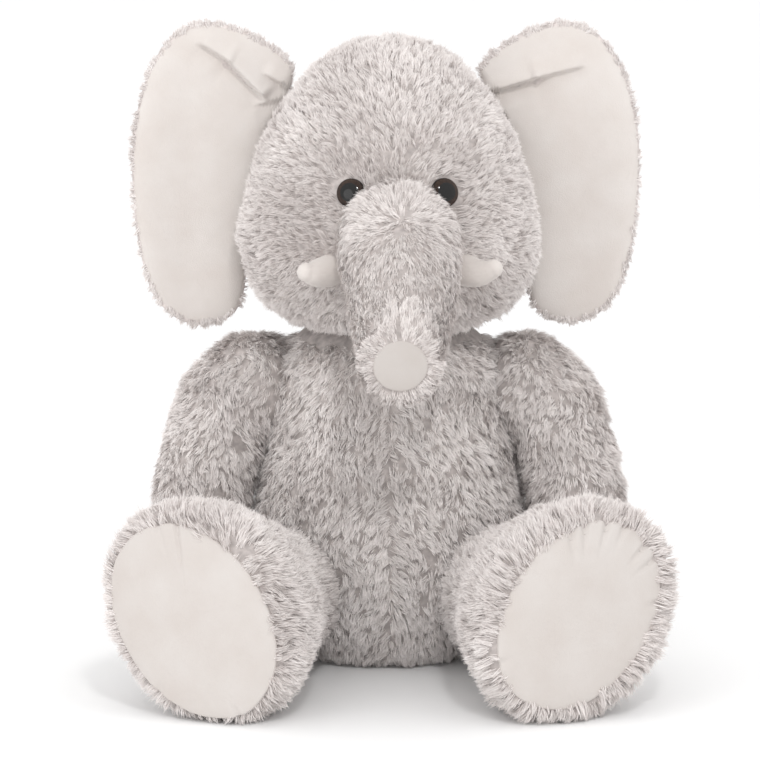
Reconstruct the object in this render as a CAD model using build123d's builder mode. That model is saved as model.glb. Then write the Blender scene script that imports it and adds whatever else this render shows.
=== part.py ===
from build123d import *

import os

# Large seated plush elephant. Millimetres, +Z up, the toy faces -Y, its own right side is -X.
# The origin is the centre of the flat seat under the torso, on the surface that it sits on.
# Each stuffed chamber is a sewn cover of plush panels around a polyester fibre filling.
# Limbs, head, trunk, ears and tail are sewn on, so each one bends about its seam.

# ---- cloth and gaps ----
COVER = 5.0  # plush cloth with its pile pressed flat, and the sewn pads
LINING = 3.0  # short-pile cloth inside the ears
SEAM_GAP = 0.3  # between a cover and its filling
JOINT_GAP = 1.0  # between the pieces on either side of a joint

# ---- torso ----
SEAT_RADIUS = 86.0
BELLY_RADIUS = 134.0
BELLY_HEIGHT = 108.0
SHOULDER_RADIUS = 100.0
SHOULDER_HEIGHT = 285.0
SIDE_SEAM_Y = 8.0  # the side seam, just behind the legs' roots
NECK = Vector(0, 0, 318)  # middle of the neck seam
NECK_RADIUS = 70.0

# ---- head ----
HEAD_Y = -18.0  # the head sits a little forward of the seat
HEAD_TURN = 3.5  # degrees towards the toy's left
HEAD_BOTTOM = 322.0
HEAD_TOP = 612.0
TRUNK_ROOT = Vector(0, -150, 412)
TRUNK_ROOT_RADIUS = 55.0
TRUNK_TIP_RADIUS = 36.0
TRUNK_ROOM = 3.0  # extra room round the trunk's root, in which it is lifted
TRUNK_PAD_RADIUS = 24.0
TUSK_RADIUS = 16.0
EYE_PLACE = Vector(44, -144, 470)
EYE_OUTWARD = Vector(0.33, -0.92, 0.2)
EYE_RADIUS = 14.0
EYE_HEIGHT = 8.0
SHANK_RADIUS = 3.0
SHANK_LENGTH = 16.0
WASHER_RADIUS = 7.0
WASHER_DEPTH = 10.0

# ---- ears ----
EAR_FRONT = 14.0
EAR_LAYERS = {"lining": LINING, "batting": 6.0, "back": COVER}
EAR_GAP = 5.0  # free of the head's side, so that the ear can fold

# ---- limbs and tail ----
SHOULDER = Vector(128, -6, 270)
UPPER_ARM = (Vector(150, -9, 244), Vector(161, -11, 225))  # where it lies against the torso
ARM_RADIUS = 48.0
ARM_ROOM = 3.0  # extra room round the upper arm, in which it is raised
HIP = Vector(95, -60, 70)
HIP_RADIUS = 60.0
THIGH_RADIUS = 68.0
THIGH_LENGTH = 120.0
SOLE = Vector(176, -300, 99.6)  # middle of the sole's seam
SOLE_LONG = 97.0
SOLE_SHORT = 72.0
SOLE_TILT = 40.0  # degrees that the oval's top leans outwards
TAIL_ROOT = Vector(0, 139, 104)
TAIL_RADIUS = 10.0
TUFT_RADIUS = 15.0
LABEL_SIZE = (28.0, 44.0, 1.2)
LABEL_TURN = -20.0  # degrees round the torso from its back seam

LEG_SPLAY = (-5, 18)  # degrees that a leg swings inwards and outwards from its place

UP = Vector(0, 0, 1)
ALONG_X = Vector(1, 0, 0)
SIDES = {"right": -1, "left": 1}


# ---- placing ----
def on_side(vector, side):
    """A place or a direction given for the toy's left, on the side asked for."""
    return Vector(vector.X * side, vector.Y, vector.Z)


def turned_direction(vector):
    """A direction on a straight head, carried round by the head's slight turn."""
    return vector.rotate(Axis.Z, HEAD_TURN)


def turned(point):
    """A place on a straight head, carried round by the head's slight turn."""
    middle = Vector(0, HEAD_Y, 0)
    return middle + turned_direction(point - middle)


def head_middle_plane():
    return Plane(origin=(0, HEAD_Y, 0), z_dir=turned_direction(ALONG_X))


def trunk_root():
    """The middle of the trunk's root, its Z across the head."""
    return Plane(origin=turned(TRUNK_ROOT), z_dir=turned_direction(ALONG_X))


# ---- building blocks ----
def revolved(outline, plane):
    """A closed solid about the plane's Y axis, through (radius, height) points."""
    top = (0, outline[-1][1])
    bottom = (0, outline[0][1])
    with BuildPart() as body:
        with BuildSketch(plane):
            with BuildLine():
                Spline(*outline)
                Polyline(outline[-1], top, bottom, outline[0])
            make_face()
        revolve(axis=Axis(plane.origin, plane.y_dir))
    return body.part


def limb(stations, across, rounded, ruled=False):
    """A lofted tube with rounded ends, with straight runs between its stations if ruled.

    A station is (centre, direction, radius along across, other radius), and rounded is a
    list of (centre, radius) for the balls that close its ends.
    """
    with BuildPart() as body:
        for centre, direction, wide, high in stations:
            x_dir = across - direction * (across.dot(direction) / direction.dot(direction))
            with BuildSketch(Plane(origin=centre, x_dir=x_dir, z_dir=direction)):
                Ellipse(wide, high)
        loft(ruled=ruled)
        for centre, radius in rounded:
            with Locations(centre):
                Sphere(radius)
    return body.part


def cover_of(chamber, *fittings):
    """The cloth between a chamber's outside and its filling, open where fittings sit."""
    with BuildPart() as cover:
        add(chamber(0))
        add(chamber(COVER), mode=Mode.SUBTRACT)
        for fitting in fittings:
            add(fitting, mode=Mode.SUBTRACT)
    return cover.part


def save(piece, name):
    piece.part.label = name
    export_step(piece.part, f"parts/{name}.step")


def save_halves(cover, seam, names):
    """The two panels on either side of a seam plane, the one it faces first."""
    for name, half in zip(names, (Keep.TOP, Keep.BOTTOM)):
        with BuildPart() as panel:
            add(cover)
            split(bisect_by=seam, keep=half)
        save(panel, name)


def save_filling(chamber, name, *fittings):
    with BuildPart() as filling:
        add(chamber(COVER + SEAM_GAP))
        for fitting in fittings:
            add(fitting, mode=Mode.SUBTRACT)
    save(filling, name)


# ---- outer shapes, each shrunk by an inset or grown by a negative one ----
def torso_shape(inset):
    """A pear with a flat seat, and the ball of the neck on top, inside the head."""
    outline = [
        (SEAT_RADIUS - inset, inset),
        (BELLY_RADIUS - 8 - inset, BELLY_HEIGHT * 0.45),
        (BELLY_RADIUS - inset, BELLY_HEIGHT),
        (BELLY_RADIUS - 7 - inset, 180),
        (BELLY_RADIUS - 19 - inset, 235),
        (SHOULDER_RADIUS - inset, SHOULDER_HEIGHT - inset),
        (NECK_RADIUS - 6 - inset, SHOULDER_HEIGHT + 15 - inset),
    ]
    with BuildPart() as torso:
        add(revolved(outline, Plane.XZ))
        with Locations(NECK):
            Sphere(NECK_RADIUS - inset)
    return torso.part


def head_shape(inset):
    """A tall dome, broadest at the cheeks."""
    outline = [
        (48 - inset * 0.5, HEAD_BOTTOM + inset),
        (98 - inset, 338 + inset * 0.5),
        (130 - inset, 367 + inset * 0.4),
        (144 - inset, 421),
        (135 - inset, 463),
        (120 - inset, 513),
        (101 - inset, 547 - inset * 0.3),
        (62 - inset * 0.6, 592 - inset * 0.9),
        (12, HEAD_TOP - inset),
    ]
    return revolved(outline, Plane(origin=(0, HEAD_Y, 0), x_dir=ALONG_X, z_dir=(0, -1, 0)))


def trunk_end(inset=0.0):
    """The plane of the trunk's blunt tip, which its pad closes."""
    return Plane(
        origin=turned(Vector(0, -276 + inset, 329)),
        x_dir=turned_direction(ALONG_X),
        z_dir=turned_direction(Vector(0, -1, 0)),
    )


def trunk_shape(inset):
    """A tapering tube that drops in front of the face and bends forwards at its tip."""
    path = [
        (TRUNK_ROOT, Vector(0, -1, -0.35), TRUNK_ROOT_RADIUS - 1),
        (Vector(0, -184, 395), Vector(0, -0.9, -0.75), 52),
        (Vector(0, -211, 368), Vector(0, -0.75, -0.75), 45),
        (Vector(0, -236, 345), Vector(0, -0.9, -0.5), 39),
    ]
    stations = [
        (turned(centre), turned_direction(direction), radius - inset, radius - inset)
        for centre, direction, radius in path
    ]
    tip = trunk_end(inset)
    stations.append((tip.origin, tip.z_dir, TRUNK_TIP_RADIUS - inset, TRUNK_TIP_RADIUS - inset))
    root = (turned(TRUNK_ROOT), TRUNK_ROOT_RADIUS - inset)
    return limb(stations, turned_direction(ALONG_X), [root])


def trunk_pad():
    with BuildPart() as pad:
        with BuildSketch(trunk_end()):
            Circle(TRUNK_PAD_RADIUS)
        extrude(amount=-COVER)
    return pad.part


def arm_shape(side, inset):
    """A fat sausage that curves out from the shoulder and hangs beside the belly."""
    paw = Vector(188, -16, 130)
    path = [
        (SHOULDER, Vector(0.8, -0.1, -0.8), ARM_RADIUS),
        (UPPER_ARM[0], Vector(0.6, -0.1, -1), ARM_RADIUS),
        (Vector(172, -13, 205), Vector(0.35, -0.08, -1), ARM_RADIUS),
        (Vector(184, -15, 165), Vector(0.2, -0.05, -1), ARM_RADIUS),
        (paw, Vector(0.05, 0, -1), ARM_RADIUS - 1),
    ]
    stations = [
        (on_side(centre, side), on_side(direction, side), radius - inset, radius - inset)
        for centre, direction, radius in path
    ]
    ends = [
        (on_side(SHOULDER, side), ARM_RADIUS + 1 - inset),
        (on_side(paw, side), ARM_RADIUS - 1 - inset),
    ]
    return limb(stations, ALONG_X, ends)


def sole_plane(side):
    """The seam plane of the sole, its X along the oval's long axis."""
    direction = (on_side(SOLE, side) - on_side(HIP, side)).normalized()
    level = direction.cross(UP).normalized()
    upright = level.cross(direction)
    long_axis = upright.rotate(Axis((0, 0, 0), direction), -SOLE_TILT * side)
    return Plane(origin=on_side(SOLE, side), x_dir=long_axis, z_dir=direction)


def leg_shape(side, inset):
    """A round thigh that swells into a big oval foot with a flat sole."""
    sole = sole_plane(side)
    length = (SOLE - HIP).length
    hip = on_side(HIP, side)
    path = [
        (0, HIP_RADIUS - 1, HIP_RADIUS - 1),
        (THIGH_LENGTH, THIGH_RADIUS, THIGH_RADIUS),
        (150, 79, 71),
        (180, 93, 77),
        (210, 103, 81),
        (238, 102, 80),
        (length - inset, SOLE_LONG, SOLE_SHORT),
    ]
    stations = [
        (hip + sole.z_dir * reach, sole.z_dir, wide - inset, high - inset)
        for reach, wide, high in path
    ]
    return limb(stations, sole.x_dir, [(hip, HIP_RADIUS - inset)], ruled=True)


def sole_pad(side):
    with BuildPart() as pad:
        with BuildSketch(sole_plane(side)):
            Ellipse(SOLE_LONG - COVER, SOLE_SHORT - COVER)
        extrude(amount=-COVER)
    return pad.part


def tail_shape(inset):
    """A short stuffed tube that hangs from the back seam."""
    path = [
        (TAIL_ROOT, Vector(0, 1, -1), TAIL_RADIUS - 0.5),
        (Vector(0, 156, 84), Vector(0, 0.35, -1), TAIL_RADIUS - 1),
        (Vector(0, 162, 56), Vector(0, 0.1, -1), TAIL_RADIUS - 2),
    ]
    stations = [(centre, way, radius - inset, radius - inset) for centre, way, radius in path]
    return limb(stations, ALONG_X, [(TAIL_ROOT, TAIL_RADIUS - inset)])


def tusk_shape(side, inset):
    """A stubby horn that curves outwards and up from the cheek beside the trunk."""
    tip = Vector(87, -165, 399)
    path = [
        (Vector(58, -136, 400), Vector(0.7, -0.7, -0.15), TUSK_RADIUS),
        (Vector(70, -150, 396), Vector(0.8, -0.6, 0.0), TUSK_RADIUS * 0.9),
        (Vector(80, -159, 395), Vector(0.85, -0.5, 0.3), TUSK_RADIUS * 0.75),
        (tip, Vector(0.8, -0.4, 0.5), TUSK_RADIUS * 0.55),
    ]
    stations = [
        (turned(on_side(c, side)), turned_direction(on_side(d, side)), r - inset, r - inset)
        for c, d, r in path
    ]
    return limb(stations, UP, [(turned(on_side(tip, side)), TUSK_RADIUS * 0.55 - inset)])


def eye_plane(side):
    """Where an eye sits on the face, facing out of the head."""
    outward = turned_direction(on_side(EYE_OUTWARD, side))
    return Plane(origin=turned(on_side(EYE_PLACE, side)), z_dir=outward)


def eye_shape(side, grow=0.0):
    """A domed eye, and the shank behind it that goes through the cover."""
    plane = eye_plane(side)
    rim = EYE_RADIUS + grow
    shank = SHANK_RADIUS + grow
    top = EYE_HEIGHT + grow
    dome_radius = (rim**2 + (top - 1) ** 2) / (2 * (top - 1))
    with BuildPart() as eye:
        with BuildSketch(Plane(origin=plane.origin, x_dir=plane.x_dir, z_dir=-plane.y_dir)):
            with BuildLine():
                Polyline(
                    (0, top),
                    (0, -SHANK_LENGTH),
                    (shank, -SHANK_LENGTH),
                    (shank, -1 - grow),
                    (rim, -1 - grow),
                    (rim, 1),
                )
                RadiusArc((rim, 1), (0, top), -dome_radius)
            make_face()
        revolve(axis=Axis(plane.origin, plane.z_dir))
    return eye.part


def washer_shape(side, grow=0.0):
    """The lock washer that is pressed onto an eye's shank inside the head."""
    with BuildPart() as washer:
        with BuildSketch(eye_plane(side).offset(-WASHER_DEPTH - grow)):
            Circle(WASHER_RADIUS + grow)
            Circle(SHANK_RADIUS + 0.1, mode=Mode.SUBTRACT)
        extrude(amount=2.5 + 2 * grow)
    return washer.part


# ---- stuffed chambers, cut back where another piece turns inside them ----
def thigh_room(side, gap):
    """The room that a thigh takes in the torso over its whole splay, as a ball and a cone."""
    behind = 15  # the cone starts inside the ball, behind the hip
    flare = 0.31  # the thigh's own taper, and the splay to either side of its middle
    length = THIGH_LENGTH + behind
    narrow = HIP_RADIUS - 3.5 + gap
    hip = on_side(HIP, side)
    forwards = sole_plane(side).z_dir.rotate(Axis.Z, sum(LEG_SPLAY) / 2 * side)
    with BuildPart() as room:
        with Locations(hip):
            Sphere(HIP_RADIUS + gap)
        with Locations(Plane(origin=hip - forwards * behind, z_dir=forwards)):
            Cone(
                narrow,
                narrow + flare * length,
                length,
                align=(Align.CENTER, Align.CENTER, Align.MIN),
            )
    return room.part


def torso_chamber(inset):
    gap = JOINT_GAP + inset
    with BuildPart() as chamber:
        add(torso_shape(inset))
        for side in SIDES.values():
            add(thigh_room(side, gap), mode=Mode.SUBTRACT)
            upper_arm = [on_side(place, side) for place in (SHOULDER, *UPPER_ARM)]
            with Locations(*upper_arm):
                Sphere(ARM_RADIUS + ARM_ROOM + gap, mode=Mode.SUBTRACT)
        with Locations(TAIL_ROOT):
            Sphere(TAIL_RADIUS + gap, mode=Mode.SUBTRACT)
    return chamber.part


def head_chamber(inset):
    gap = JOINT_GAP + inset
    with BuildPart() as chamber:
        add(head_shape(inset))
        with Locations(NECK):
            Sphere(NECK_RADIUS + gap, mode=Mode.SUBTRACT)
        with Locations(trunk_root()):
            Sphere(TRUNK_ROOT_RADIUS + TRUNK_ROOM + gap, mode=Mode.SUBTRACT)
    return chamber.part


# ---- torso ----
os.makedirs("parts", exist_ok=True)

torso_cover = cover_of(torso_chamber)
for side_name, side_half in (("right", Keep.BOTTOM), ("left", Keep.TOP)):
    for face_name, face_half in (("front", Keep.TOP), ("back", Keep.BOTTOM)):
        with BuildPart() as torso_panel:
            add(torso_cover)
            split(bisect_by=Plane.YZ, keep=side_half)
            split(bisect_by=Plane.XZ.offset(-SIDE_SEAM_Y), keep=face_half)
        save(torso_panel, f"torso_panel_{face_name}_{side_name}")
save_filling(torso_chamber, "torso_filling")

label_plane = Plane(origin=(0, 0, 62), x_dir=(-1, 0, 0), z_dir=(0, 1, 0))
with BuildPart() as label_tag:
    with BuildSketch(label_plane.offset(BELLY_RADIUS - 2.4)):
        Rectangle(LABEL_SIZE[0], LABEL_SIZE[1])
    extrude(amount=LABEL_SIZE[2])
turned_tag = label_tag.part.rotate(Axis.Z, LABEL_TURN)
with BuildPart() as label_on_torso:
    add(turned_tag)
    add(torso_shape(0), mode=Mode.SUBTRACT)
save(label_on_torso, "label")

# ---- head and face ----
eye_holes = [eye_shape(side, 0.15) for side in SIDES.values()]
washer_holes = [washer_shape(side, SEAM_GAP) for side in SIDES.values()]
head_cover = cover_of(head_chamber, *eye_holes)
save_halves(head_cover, head_middle_plane(), ("head_panel_left", "head_panel_right"))
save_filling(head_chamber, "head_filling", *eye_holes, *washer_holes)

for side_name, side in SIDES.items():
    with BuildPart() as eye:
        add(eye_shape(side))
    save(eye, f"eye_{side_name}")
    with BuildPart() as eye_washer:
        add(washer_shape(side))
    save(eye_washer, f"eye_washer_{side_name}")

# ---- trunk ----
trunk_cover = cover_of(trunk_shape, trunk_pad())
save_halves(trunk_cover, head_middle_plane(), ("trunk_panel_left", "trunk_panel_right"))
save_filling(trunk_shape, "trunk_filling")
with BuildPart() as trunk_tip_pad:
    add(trunk_pad())
save(trunk_tip_pad, "trunk_pad")

# ---- tusks, clear of the trunk's root on the cheek ----
trunk_clear = TRUNK_ROOT_RADIUS + TRUNK_ROOM
for side_name, side in SIDES.items():
    with BuildPart() as tusk_cover:
        add(tusk_shape(side, 0))
        add(tusk_shape(side, LINING), mode=Mode.SUBTRACT)
        add(head_shape(0), mode=Mode.SUBTRACT)
        with Locations(trunk_root()):
            Sphere(trunk_clear, mode=Mode.SUBTRACT)
    save(tusk_cover, f"tusk_cover_{side_name}")
    with BuildPart() as tusk_filling:
        add(tusk_shape(side, LINING + SEAM_GAP))
        add(head_shape(-SEAM_GAP), mode=Mode.SUBTRACT)
        with Locations(trunk_root()):
            Sphere(trunk_clear + LINING, mode=Mode.SUBTRACT)
    save(tusk_filling, f"tusk_filling_{side_name}")

# ---- ears: three layers with one outline, hollowed to clear the head's side ----
for side_name, side in SIDES.items():
    rim = [
        (92, 583),
        (118, 606),
        (150, 621),
        (183, 626),
        (212, 612),
        (236, 576),
        (250, 520),
        (252, 460),
        (245, 398),
        (229, 352),
        (200, 329),
        (166, 330),
        (142, 352),
    ]
    rim = [(x * side, z) for x, z in rim]
    depth = EAR_FRONT
    for layer_name, thickness in EAR_LAYERS.items():
        with BuildPart() as flat_layer:
            with BuildSketch(Plane.XZ.offset(-depth)):
                with BuildLine():
                    Spline(*rim)
                    Polyline(rim[-1], (80 * side, 470), rim[0])
                make_face()
            extrude(amount=-thickness)
        placed = flat_layer.part.rotate(Axis((0, HEAD_Y, 0), UP), HEAD_TURN)
        with BuildPart() as ear_layer:
            add(placed)
            add(head_shape(-EAR_GAP), mode=Mode.SUBTRACT)
        save(ear_layer, f"ear_{layer_name}_{side_name}")
        depth += thickness

# ---- arms and legs ----
for side_name, side in SIDES.items():
    def arm_chamber(inset):
        return arm_shape(side, inset)

    def leg_chamber(inset):
        return leg_shape(side, inset)

    arm_seam = Plane.XZ.offset(-SHOULDER.Y)
    arm_names = (f"arm_panel_front_{side_name}", f"arm_panel_back_{side_name}")
    save_halves(cover_of(arm_chamber), arm_seam, arm_names)
    save_filling(arm_chamber, f"arm_filling_{side_name}")

    outwards = sole_plane(side).z_dir.cross(UP) * -side
    leg_seam = Plane(origin=on_side(HIP, side), z_dir=outwards)
    leg_names = (f"leg_panel_outer_{side_name}", f"leg_panel_inner_{side_name}")
    save_halves(cover_of(leg_chamber, sole_pad(side)), leg_seam, leg_names)
    save_filling(leg_chamber, f"leg_filling_{side_name}")
    with BuildPart() as sole:
        add(sole_pad(side))
    save(sole, f"sole_{side_name}")

# ---- tail ----
with BuildPart() as tail:
    add(tail_shape(0))
save(tail, "tail")

with BuildPart() as tail_tuft:
    with BuildSketch(Plane(origin=(0, 164, 44), x_dir=ALONG_X, z_dir=(0, -1, 0))):
        with BuildLine():
            Spline((0, -22), (TUFT_RADIUS * 0.8, -14), (TUFT_RADIUS, 0), (6, 16), (0, 20))
            Line((0, 20), (0, -22))
        make_face()
    revolve(axis=Axis((0, 164, 44), UP))
    add(tail_shape(0), mode=Mode.SUBTRACT)
save(tail_tuft, "tail_tuft")
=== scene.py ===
"""A large seated plush elephant: stuffed skins, a coat of modelled fur, and short-pile pads."""

import math

import bpy
import numpy as np
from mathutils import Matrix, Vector


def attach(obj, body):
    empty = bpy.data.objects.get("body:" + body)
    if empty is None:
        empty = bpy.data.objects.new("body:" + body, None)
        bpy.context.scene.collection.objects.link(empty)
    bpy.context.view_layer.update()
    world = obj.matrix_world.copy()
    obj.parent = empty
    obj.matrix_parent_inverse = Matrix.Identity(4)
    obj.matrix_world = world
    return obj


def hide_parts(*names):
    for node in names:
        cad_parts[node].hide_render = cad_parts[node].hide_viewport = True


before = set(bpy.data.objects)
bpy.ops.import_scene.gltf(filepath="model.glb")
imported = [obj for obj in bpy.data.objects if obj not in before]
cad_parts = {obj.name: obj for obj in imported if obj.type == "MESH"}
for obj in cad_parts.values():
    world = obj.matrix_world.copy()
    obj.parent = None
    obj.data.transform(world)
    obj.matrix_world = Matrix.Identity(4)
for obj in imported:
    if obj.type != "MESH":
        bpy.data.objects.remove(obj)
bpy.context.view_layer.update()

MM = 0.001  # lengths below are in millimetres, as in the CAD, unless they say metres
SIDES = {"right": -1, "left": 1}
HEAD_Y = -18.0
HEAD_TURN = math.radians(3.5)
DOWN = np.array([0, 0, -1.0])
FLOOR_LIFT = 0.4  # how far off the floor the lowest cloth and fibres stay
CLOTH_FRAMES = 16
FILLING_PRESSURE = 4.0


# ---------------------------------------------------------------- numbers and vectors
def unit(v):
    v = np.asarray(v, float)
    return v / np.maximum(np.linalg.norm(v, axis=-1, keepdims=True), 1e-9)


def turned(points):
    """Places on a straight head, carried round by the head's slight turn."""
    p = np.array(points, float)
    c, s = math.cos(HEAD_TURN), math.sin(HEAD_TURN)
    x, y = p[..., 0].copy(), p[..., 1] - HEAD_Y
    p[..., 0], p[..., 1] = x * c - y * s, x * s + y * c + HEAD_Y
    return p


def turned_back(points):
    """The straight-headed places of points on the turned head."""
    p = np.array(points, float)
    c, s = math.cos(HEAD_TURN), math.sin(HEAD_TURN)
    x, y = p[..., 0].copy(), p[..., 1] - HEAD_Y
    p[..., 0], p[..., 1] = x * c + y * s, y * c - x * s + HEAD_Y
    return p


def turned_way(vector):
    return turned(np.array(vector, float) + [0, HEAD_Y, 0]) - [0, HEAD_Y, 0]


def mirrored(points, side):
    """Places given for the toy's left, on the side asked for."""
    return np.array(points, float) * [side, 1, 1]


def smooth_rows(rows, count):
    """A smooth curve through rows of numbers, sampled at count even steps."""
    rows = np.array(rows, float)
    t = np.linspace(0, len(rows) - 1, count)
    i = np.clip(t.astype(int), 0, len(rows) - 2)
    f = (t - i)[:, None]
    ends = np.vstack([2 * rows[0] - rows[1], rows, 2 * rows[-1] - rows[-2]])
    a, b, c, d = (ends[i + k] for k in range(4))
    bend = 2 * a - 5 * b + 4 * c - d
    twist = 3 * b - a - 3 * c + d
    return 0.5 * (2 * b + (c - a) * f + bend * f**2 + twist * f**3)


def waves(points, size, seed, octaves=2):
    """Smooth noise of about -1 to 1 whose bumps are size across, from sums of sine waves."""
    rng = np.random.default_rng(seed)
    total = np.zeros(len(points))
    for octave in range(octaves):
        k = unit(rng.normal(size=(6, 3))) * (2 * math.pi / size) * 1.9**octave
        phase = rng.uniform(0, 2 * math.pi, 6)
        total += np.sin(points @ k.T + phase).sum(axis=1) / 3.4 * 0.6**octave
    return total


def smoothstep(low, high, x):
    t = np.clip((x - low) / (high - low), 0, 1)
    return t * t * (3 - 2 * t)


# ---------------------------------------------------------------- meshes
def build(name, verts, faces, materials):
    """A mesh object from places in millimetres."""
    mesh = bpy.data.meshes.new(name)
    mesh.from_pydata((np.asarray(verts, float) * MM).tolist(), [], faces)
    mesh.polygons.foreach_set("use_smooth", [True] * len(mesh.polygons))
    obj = bpy.data.objects.new(name, mesh)
    bpy.context.collection.objects.link(obj)
    for material in materials:
        mesh.materials.append(material)
    return obj


def closed_rings(rings):
    """Faces and places of a closed skin through rings of equal counts, capped at both ends."""
    rings = np.asarray(rings, float)
    count, around = rings.shape[:2]
    verts = list(rings.reshape(-1, 3)) + [rings[0].mean(axis=0), rings[-1].mean(axis=0)]
    faces = []
    for i in range(count - 1):
        for j in range(around):
            k = (j + 1) % around
            a, b = i * around, (i + 1) * around
            faces.append((a + j, a + k, b + k, b + j))
    first, last = count * around, count * around + 1
    end = (count - 1) * around
    for j in range(around):
        k = (j + 1) % around
        faces.append((first, k, j))
        faces.append((last, end + j, end + k))
    return verts, faces


def turned_profile(rows, count, around, centre=(0, 0)):
    """Rings of a solid of revolution through (radius, height) rows."""
    rings = []
    for radius, height in smooth_rows(rows, count)[1:-1]:
        t = np.arange(around) * 2 * math.pi / around
        ring = np.stack([np.cos(t), np.sin(t), np.zeros(around)], axis=1) * max(radius, 0.5)
        rings.append(ring + [centre[0], centre[1], height])
    return rings


def limb_rings(stations, across, count, around, round_end=False, flat_edge=0.0):
    """Rings of a stuffed tube with a round start, and a round end or a flat one.

    A station is (x, y, z, radius along across, other radius).
    """
    rows = smooth_rows(stations, count)
    centres = rows[:, :3]
    ways = unit(np.gradient(centres, axis=0))
    t = np.arange(around) * 2 * math.pi / around
    rings = []

    def ring(centre, way, wide, high):
        u = unit(across - way * np.dot(across, way))
        v = np.cross(way, u)
        rings.append(centre + np.outer(np.cos(t) * wide, u) + np.outer(np.sin(t) * high, v))

    caps = np.linspace(0.12, 1.0, 8)[:-1] * math.pi / 2
    for angle in caps:
        back = rows[0, 3] * math.cos(angle)
        ring(centres[0] - ways[0] * back, ways[0], *(rows[0, 3:] * math.sin(angle)))
    for centre, way, row in zip(centres, ways, rows):
        ring(centre, way, row[3], row[4])
    if round_end:
        for angle in caps[::-1]:
            ahead = rows[-1, 3] * math.cos(angle)
            ring(centres[-1] + ways[-1] * ahead, ways[-1], *(rows[-1, 3:] * math.sin(angle)))
    elif flat_edge:
        for inward, ahead in ((0.3, 0.7), (1.0, 1.0), (2.5, 1.1), (5.0, 1.1)):
            size = np.maximum(rows[-1, 3:] - inward * flat_edge, 1)
            ring(centres[-1] + ways[-1] * ahead * flat_edge, ways[-1], *size)
    return rings


def remeshed(obj, voxel):
    """The same closed skin with even faces."""
    modifier = obj.modifiers.new("even", "REMESH")
    modifier.mode = "VOXEL"
    modifier.voxel_size = voxel * MM
    modifier.use_smooth_shade = True
    return applied(obj)


def applied(obj):
    """obj with its modifiers made into its mesh."""
    graph = bpy.context.evaluated_depsgraph_get()
    graph.update()
    mesh = bpy.data.meshes.new_from_object(obj.evaluated_get(graph))
    obj.modifiers.clear()
    old = obj.data
    for material in old.materials:
        if material and material.name not in mesh.materials:
            mesh.materials.append(material)
    obj.data = mesh
    bpy.data.meshes.remove(old)
    return obj


def places(mesh):
    """The places of a mesh's points, in millimetres."""
    co = np.empty(len(mesh.vertices) * 3)
    mesh.vertices.foreach_get("co", co)
    return co.reshape(-1, 3) / MM


def set_places(mesh, points):
    mesh.vertices.foreach_set("co", (points * MM).ravel())
    mesh.update()


def stuffed(obj, seams, cap):
    """The skin blown up by its filling in a cloth simulation, by cap at most.

    It is held in along its seams. A seam is a function that gives places' distances from it.
    """
    start = places(obj.data)
    start[:, 2] = np.maximum(start[:, 2], FLOOR_LIFT)
    set_places(obj.data, start)
    held = np.zeros(len(start))
    for seam in seams:
        held = np.maximum(held, 1 - smoothstep(2.0, 9.0, np.abs(seam(start))))
    group = obj.vertex_groups.new(name="seams")
    for i in np.nonzero(held > 0.05)[0]:
        group.add([int(i)], float(held[i]), "REPLACE")
    cloth = obj.modifiers.new("cloth", "CLOTH")
    cloth.settings.quality = 5
    cloth.settings.mass = 0.3
    cloth.settings.tension_stiffness = 20
    cloth.settings.compression_stiffness = 20
    cloth.settings.bending_stiffness = 1.0
    cloth.settings.use_pressure = True
    cloth.settings.uniform_pressure_force = FILLING_PRESSURE
    cloth.settings.effector_weights.gravity = 0
    cloth.settings.vertex_group_mass = "seams"
    cloth.point_cache.frame_start = 1
    cloth.point_cache.frame_end = CLOTH_FRAMES
    for number in range(1, CLOTH_FRAMES + 1):
        bpy.context.scene.frame_set(number)
    graph = bpy.context.evaluated_depsgraph_get()
    swollen = places(obj.evaluated_get(graph).to_mesh())
    obj.evaluated_get(graph).to_mesh_clear()
    obj.modifiers.clear()
    obj.vertex_groups.clear()
    bpy.context.scene.frame_set(1)
    moved = swollen - start
    far = np.linalg.norm(moved, axis=1, keepdims=True)
    settled = start + moved * np.minimum(1, cap / np.maximum(far, 1e-6))
    settled[:, 2] = np.maximum(settled[:, 2], FLOOR_LIFT)
    set_places(obj.data, settled)
    return obj


def subdivided(obj):
    modifier = obj.modifiers.new("smooth", "SUBSURF")
    modifier.levels = modifier.render_levels = 1
    return applied(obj)


def piece(obj, body, slot, *nodes, fill=None):
    """A finished piece: it rides on a body and stands for the CAD nodes given."""
    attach(obj, body)
    if nodes:
        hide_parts(*nodes)
    return obj


# ---------------------------------------------------------------- materials
def principled(name, colour, roughness):
    """A material and its shader, with its constants set on the shader's own sockets."""
    material = bpy.data.materials.new(name)
    material.use_nodes = True
    shader = material.node_tree.nodes["Principled BSDF"]
    shader.inputs["Base Color"].default_value = (*colour, 1)
    shader.inputs["Roughness"].default_value = roughness
    return material, shader


def set_socket(shader, name, value):
    shader.inputs[name].default_value = value


FUR_DARK = np.array([0.59, 0.535, 0.515])
FUR_PALE = np.array([0.93, 0.885, 0.865])
FUR_TONES = 8
MOST_FIBRES = 64000  # in one mesh, which keeps each under 200,000 triangles


def fur_palette():
    """The coat's shades, from the deep roots to the pale tips; the darker roots are painted shade
    deep in the pile.
    """
    shades = []
    for i in range(FUR_TONES):
        t = i / (FUR_TONES - 1)
        colour = FUR_DARK * (1 - t) + FUR_PALE * t
        material, shader = principled(f"plush_fibre_{i}", colour, 0.62)
        set_socket(shader, "Specular IOR Level", 0.25)
        set_socket(shader, "Sheen Weight", 0.35)
        set_socket(shader, "Sheen Roughness", 0.45)
        set_socket(shader, "Sheen Tint", (1.0, 0.97, 0.95, 1))
        shades.append(material)
    return shades


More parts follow.
